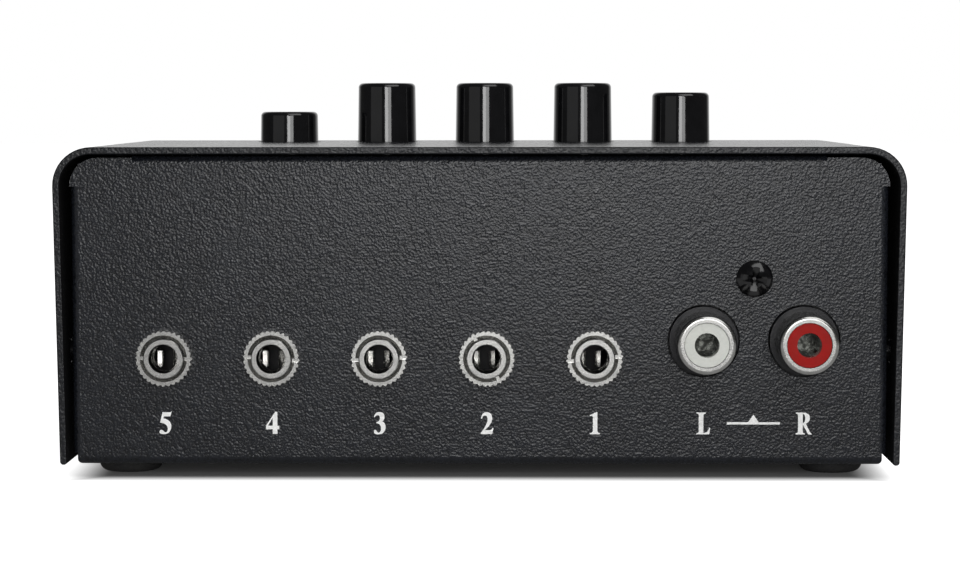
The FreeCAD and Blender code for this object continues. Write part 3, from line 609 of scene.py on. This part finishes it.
@dataclass(frozen=True)
class Glyph:
    """One character: its width and its loops, on a grid that is GRID_HEIGHT high.

    A loop's line passes through its ON marks, and its PULL marks only bend the line.
    """

    width: float
    loops: tuple[tuple[Mark, ...], ...]

    @staticmethod
    def rounded(loop: Sequence[Mark], steps: int = 7) -> list[Point]:
        """Turn a loop of marks into points that all lie on its line.

        Args:
            loop: The loop's marks.
            steps: The number of points along each bend.

        Returns:
            The points of the loop.
        """
        full: list[Mark] = []
        for index, mark in enumerate(loop):
            before = loop[index - 1]
            if not mark[2] and not before[2]:
                full.append(((mark[0] + before[0]) / 2, (mark[1] + before[1]) / 2, ON))
            full.append(mark)
        first = next(index for index, mark in enumerate(full) if mark[2])
        full = full[first:] + full[:first] + [full[first]]
        points: list[Point] = []
        index = 0
        while index < len(full) - 1:
            start = full[index]
            points.append((start[0], start[1]))
            if full[index + 1][2]:
                index += 1
                continue
            pull, end = full[index + 1], full[index + 2]
            for step in range(1, steps):
                share = step / steps
                points.append(tuple(
                    start[axis] * (1 - share) ** 2
                    + 2 * pull[axis] * share * (1 - share)
                    + end[axis] * share**2
                    for axis in (0, 1)
                ))
            index += 2
        return points


GLYPHS = {
    "1": Glyph(56, ((
        (8, 0, ON), (54, 0, ON), (54, 5, ON), (43, 6, PULL), (42, 16, ON), (42, 100, ON),
        (37, 100, ON), (8, 86, ON), (8, 82, ON), (21, 86, PULL), (22, 76, ON), (22, 16, ON),
        (21, 6, PULL), (8, 5, ON),
    ),)),
    "2": Glyph(62, ((
        (3, 0, ON), (55, 0, ON), (61, 28, ON), (56, 28, ON), (52, 18, PULL), (42, 18, ON),
        (22, 18, ON), (56, 48, PULL), (55, 72, ON), (53, 100, PULL), (29, 100, ON),
        (8, 99, PULL), (4, 70, ON), (9, 70, ON), (13, 84, PULL), (22, 84, ON), (34, 84, PULL),
        (34, 68, ON), (34, 44, PULL), (3, 5, ON),
    ),)),
    "3": Glyph(60, ((
        (4, 12, ON), (4, -2, PULL), (22, -2, ON), (56, -1, PULL), (57, 32, ON), (57, 50, PULL),
        (42, 57, ON), (52, 64, PULL), (52, 78, ON), (51, 100, PULL), (28, 100, ON),
        (9, 99, PULL), (4, 77, ON), (9, 75, ON), (13, 86, PULL), (21, 86, ON), (31, 85, PULL),
        (31, 73, ON), (31, 57, PULL), (15, 54, ON), (15, 49, ON), (36, 47, PULL), (36, 26, ON),
        (36, 8, PULL), (25, 6, ON), (21, 6, PULL), (17, 12, ON), (13, 20, PULL), (8, 19, ON),
        (4, 18, PULL),
    ),)),
    "4": Glyph(62, (
        (
            (32, 0, ON), (53, 0, ON), (53, 21, ON), (61, 21, ON), (61, 37, ON), (53, 37, ON),
            (53, 100, ON), (43, 100, ON), (2, 38, ON), (2, 21, ON), (32, 21, ON),
        ),
        ((10, 37, ON), (32, 37, ON), (32, 73, ON)),
    )),
    "5": Glyph(60, ((
        (17, 98, ON), (51, 98, ON), (54, 98, PULL), (56, 102, ON), (59, 102, ON), (52, 79, ON),
        (23, 79, ON), (20, 70, ON), (57, 64, PULL), (56, 33, ON), (54, -2, PULL), (19, -2, ON),
        (3, -1, PULL), (3, 9, ON), (3, 18, PULL), (11, 18, ON), (17, 18, PULL), (22, 11, ON),
        (26, 6, PULL), (32, 7, ON), (40, 9, PULL), (40, 24, ON), (39, 46, PULL), (6, 51, ON),
    ),)),
    "L": Glyph(66, ((
        (3, 0, ON), (60, 0, ON), (65, 30, ON), (60, 30, ON), (54, 7, PULL), (36, 7, ON),
        (34, 7, ON), (34, 84, ON), (35, 93, PULL), (45, 95, ON), (45, 99, ON), (3, 99, ON),
        (3, 95, ON), (13, 93, PULL), (13, 84, ON), (13, 15, ON), (13, 6, PULL), (3, 4, ON),
    ),)),
    "R": Glyph(76, (
        (
            (3, 0, ON), (44, 0, ON), (44, 4, ON), (34, 6, PULL), (34, 15, ON), (34, 46, ON),
            (59, 0, ON), (75, 0, ON), (75, 4, ON), (70, 5, PULL), (66, 12, ON), (48, 49, ON),
            (66, 56, PULL), (66, 73, ON), (65, 99, PULL), (36, 99, ON), (3, 99, ON), (3, 95, ON),
            (13, 93, PULL), (13, 84, ON), (13, 15, ON), (13, 6, PULL), (3, 4, ON),
        ),
        ((34, 52, ON), (46, 53, PULL), (45, 73, ON), (45, 93, PULL), (34, 93, ON)),
    )),
}


@dataclass
class PanelPrint:
    """The plain numbers and side letters printed in white ink under the sockets.

    Jack 1 stands at jack_x, and the other jacks follow it towards -X.
    """

    finishes: Finishes
    panel_y: float = -29.4
    ink: float = 0.03
    foot_z: float = 6.29
    height: float = 3.1
    jack_x: float = 16.1
    jack_pitch: float = 15.0
    phono_x: dict[str, float] = field(default_factory=lambda: {"L": 31.3, "R": 45.3})
    rule_ends: Point = (34.6, 42.0)
    rule_height: float = 0.32
    arrow_height: float = 1.05
    arrow_half: float = 0.75

    def build(self) -> None:
        """Print the numbers, the two letters and the rule between them."""
        for number in STATIONS:
            middle = self.jack_x - self.jack_pitch * (number - 1)
            self.glyph(f"print_{number}", str(number), middle)
        for side, middle in self.phono_x.items():
            self.glyph(f"print_{side}", side, middle)
        self.rule()

    def glyph(self, name: str, sign: str, middle: float) -> None:
        """Print one character.

        Args:
            name: The piece's name.
            sign: The character.
            middle: The character's middle along X.
        """
        glyph = GLYPHS[sign]
        size = self.height / GRID_HEIGHT
        left = middle - glyph.width * size / 2
        loops = [
            [(left + u * size, self.foot_z + v * size) for u, v in Glyph.rounded(loop)]
            for loop in glyph.loops
        ]
        self.print_loops(name, loops)

    def rule(self) -> None:
        """Print the thin rule that joins the two letters, with a small arrowhead on its middle."""
        low = self.foot_z + self.height / 2 - self.rule_height / 2
        high = low + self.rule_height
        middle = sum(self.rule_ends) / 2
        near, far = self.rule_ends
        outline = [
            (near, low), (far, low), (far, high),
            (middle + self.arrow_half, high),
            (middle, high + self.arrow_height),
            (middle - self.arrow_half, high),
            (near, high),
        ]
        self.print_loops("print_rule", [outline])

    def print_loops(self, name: str, loops: list[list[Point]]) -> None:
        """Make a thin closed solid of ink from flat loops.

        Args:
            name: The piece's name.
            loops: The outline and its holes, as points along X and Z.
        """
        mesh = bmesh.new()
        front, back = (
            [[mesh.verts.new(millimetres(u, depth, v)) for u, v in loop] for loop in loops]
            for depth in (self.panel_y - self.ink, self.panel_y)
        )
        flat = [[Vector((u, v, 0.0)) for u, v in loop] for loop in loops]
        for layer in (front, back):
            corners = [corner for loop in layer for corner in loop]
            for triangle in tessellate_polygon(flat):
                mesh.faces.new([corners[index] for index in triangle])
        for near, far in zip(front, back):
            for index, corner in enumerate(near):
                mesh.faces.new((near[index - 1], corner, far[index], far[index - 1]))
        bmesh.ops.recalc_face_normals(mesh, faces=mesh.faces)
        data = bpy.data.meshes.new(name)
        mesh.to_mesh(data)
        mesh.free()
        piece = bpy.data.objects.new(name, data)
        bpy.context.scene.collection.objects.link(piece)
        self.finishes.dress(piece, "white_ink")
        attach(piece, "case")
        LOG.info("printed %s", name)


@dataclass(frozen=True)
class Lamp:
    """A soft rectangular lamp: where it hangs, what it faces, its size and its power in watts."""

    name: str
    place: Place
    aim: Place
    size_m: Point
    power: float

    def hang(self) -> None:
        """Add the lamp to the scene."""
        data = bpy.data.lights.new(self.name, "AREA")
        data.shape = "RECTANGLE"
        data.size, data.size_y = self.size_m
        data.energy = self.power
        lamp = bpy.data.objects.new(self.name, data)
        lamp.location = millimetres(*self.place)
        lamp.rotation_mode = "QUATERNION"
        towards = millimetres(*self.aim) - lamp.location
        lamp.rotation_quaternion = towards.to_track_quat("-Z", "Y")
        bpy.context.scene.collection.objects.link(lamp)


@dataclass
class Studio:
    """The plain floor, soft lamps, world and camera.

    The floor carries a painted shadow under the object: within shadow_half_m of its middle along
    X and Y its glow and grey are lowered, and this fades out over shadow_fade_m. The lamps' own
    shadow falls on it too. Glows, greys and ambient are levels, of which 1 is white.
    """

    floor_half_m: float = 3.0
    shadow_half_m: Point = (0.052, 0.0265)
    shadow_fade_m: float = 0.0085
    shadow_glow: float = 0.01
    reflected_glow: float = 0.2
    shadow_grey: float = 0.36
    open_grey: float = 0.86
    bounce_grey: float = 0.5
    lens: float = 103.05
    sensor: float = 36.0
    clip_start_m: float = 0.01
    eye: Place = (5.632, -411.35, 52.663)
    pitch: float = 0.0677
    turn: float = 0.0143
    roll: float = 0.0007
    ambient: float = 0.2
    far_side_span: Span = (0.55, 1.0)
    far_side_glow: Span = (0.07, 1.0)
    lamps: tuple[Lamp, ...] = (
        Lamp("key", (260, -420, 640), (0, 0, 20), (0.6, 0.6), 2.7),
        Lamp("strip_near", (-8, -700, 150), (0, 0, 40), (0.155, 0.26), 1.25),
        Lamp("strip_far", (148, -700, 150), (0, 0, 40), (0.155, 0.26), 0.72),
        Lamp("left_card", (-474, -503, 130), (0, 0, 40), (0.62, 0.25), 0.17),
    )

    def build(self) -> None:
        """Set up the whole studio."""
        self.make_camera()
        self.make_world()
        self.make_floor()
        for lamp in self.lamps:
            lamp.hang()
        bpy.context.scene.view_settings.view_transform = "Standard"

    def make_camera(self) -> None:
        """Put the camera where the photograph was taken from."""
        data = bpy.data.cameras.new("camera")
        data.lens = self.lens
        data.sensor_width = self.sensor
        data.clip_start = self.clip_start_m
        camera = bpy.data.objects.new("camera", data)
        camera.location = millimetres(*self.eye)
        camera.rotation_euler = (math.pi / 2 - self.pitch, self.roll, self.turn)
        bpy.context.scene.collection.objects.link(camera)
        bpy.context.scene.camera = camera

    def make_world(self) -> None:
        """Make a world that is white to the camera and dim to the object.

        A reflection sees it dark but for its far side, which brightens to white.
        """
        world = bpy.data.worlds.new("studio")
        world.use_nodes = True
        bpy.context.scene.world = world
        tree = NodeTree(world.node_tree)
        ray = tree.add("LightPath").outputs
        direction = tree.add("TexCoord").outputs["Generated"]
        depth = tree.add("SeparateXYZ", {0: direction}).outputs[1]
        reflected = tree.ramp(depth, self.far_side_span, self.far_side_glow)
        seen = tree.maths("MAXIMUM", ray["Is Camera Ray"], ray["Is Transmission Ray"])
        glossy = tree.times(ray["Is Glossy Ray"], reflected)
        other = tree.maths("MAXIMUM", seen, ray["Is Glossy Ray"])
        lit = tree.maths("SUBTRACT", 1.0, other, clamp=True)
        light = tree.times(lit, self.ambient)
        strength = tree.maths("ADD", tree.maths("MAXIMUM", seen, glossy), light)
        background = tree.add("Background", {"Color": rgba(WHITE), "Strength": strength})
        tree.add("OutputWorld", {"Surface": background.outputs[0]})

    def make_floor(self) -> None:
        """Make the pale floor, which glows white to the camera but for a painted shadow under the
        object, fixed to the floor, which joins the lamps' own shadow.
        """
        half = self.floor_half_m
        corners = [(-half, -half, 0), (half, -half, 0), (half, half, 0), (-half, half, 0)]
        data = bpy.data.meshes.new("floor")
        data.from_pydata(corners, [], [(0, 1, 2, 3)])
        floor = bpy.data.objects.new("floor", data)
        bpy.context.scene.collection.objects.link(floor)
        material = bpy.data.materials.new("pale_floor")
        material.use_nodes = True
        tree = NodeTree(material.node_tree)
        ray = tree.add("LightPath").outputs
        place = tree.add("TexCoord").outputs["Object"]
        side, depth = tree.add("SeparateXYZ", {0: place}).outputs[:2]
        across, along = (
            tree.maths("SUBTRACT", tree.maths("ABSOLUTE", reach), shadow_half)
            for reach, shadow_half in zip((side, depth), self.shadow_half_m)
        )
        # Painted shadow: the glow towards the camera is lowered within a rectangle under the
        # object.
        beyond = tree.maths("MAXIMUM", across, along)
        glow = tree.ramp(beyond, (0.0, self.shadow_fade_m), (self.shadow_glow, 1.0))
        seen = tree.maths("MAXIMUM", ray["Is Camera Ray"], ray["Is Transmission Ray"])
        mirrored = tree.times(ray["Is Glossy Ray"], self.reflected_glow)
        strength = tree.times(tree.maths("MAXIMUM", seen, mirrored), glow)
        # Painted shadow: the floor's grey seen by the camera is lowered under the object as well.
        shaded = tree.blend(glow, grey(self.shadow_grey), grey(self.open_grey))
        tone = tree.blend(ray["Is Camera Ray"], grey(self.bounce_grey), shaded)
        paint = tree.add("BsdfDiffuse", {"Color": tone})
        shine = tree.add("Emission", {"Color": rgba(WHITE), "Strength": strength})
        both = tree.add("AddShader", {0: paint.outputs[0], 1: shine.outputs[0]})
        tree.add("OutputMaterial", {"Surface": both.outputs[0]})
        data.materials.append(material)


def main() -> None:
    """Dress the frame, add the printing and set up the studio."""
    logging.basicConfig(level=logging.INFO, format="%(name)s: %(message)s")
    finishes = Finishes(EffectGroups())
    finishes.dress_nodes(frame["record"], frame["nodes"])
    PanelPrint(finishes).build()
    Studio().build()


if __name__ == "__main__":
    main()
